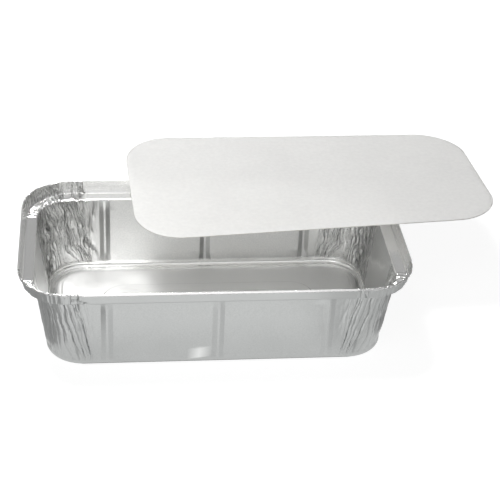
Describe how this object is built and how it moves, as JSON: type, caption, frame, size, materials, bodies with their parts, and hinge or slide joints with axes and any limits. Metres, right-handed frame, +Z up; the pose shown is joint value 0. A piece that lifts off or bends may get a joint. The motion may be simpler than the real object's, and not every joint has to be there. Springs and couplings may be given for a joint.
{
  "type": "foil food container",
  "caption": "Rectangular pressed foil food tray with gathered corners and a flat shelf round its rim, with a loose board lid lying across the back of the rim.",
  "frame": {"origin": "on the plane that the tray's foot stands on, under the middle of the tray", "axes": "+X along the tray's length, +Y to the back, where the lid lies, +Z up out of the tray"},
  "size_m": [0.2563, 0.1641, 0.0525],
  "materials": {
    "pressed_foil": "bright pressed foil, smooth on floor and walls, finely wrinkled at the corners",
    "lid_board": "matt off-white coated board"
  },
  "bodies": {
    "root": {"foil_tray": "pressed_foil", "board_lid": "lid_board"}
  },
  "joints": []
}
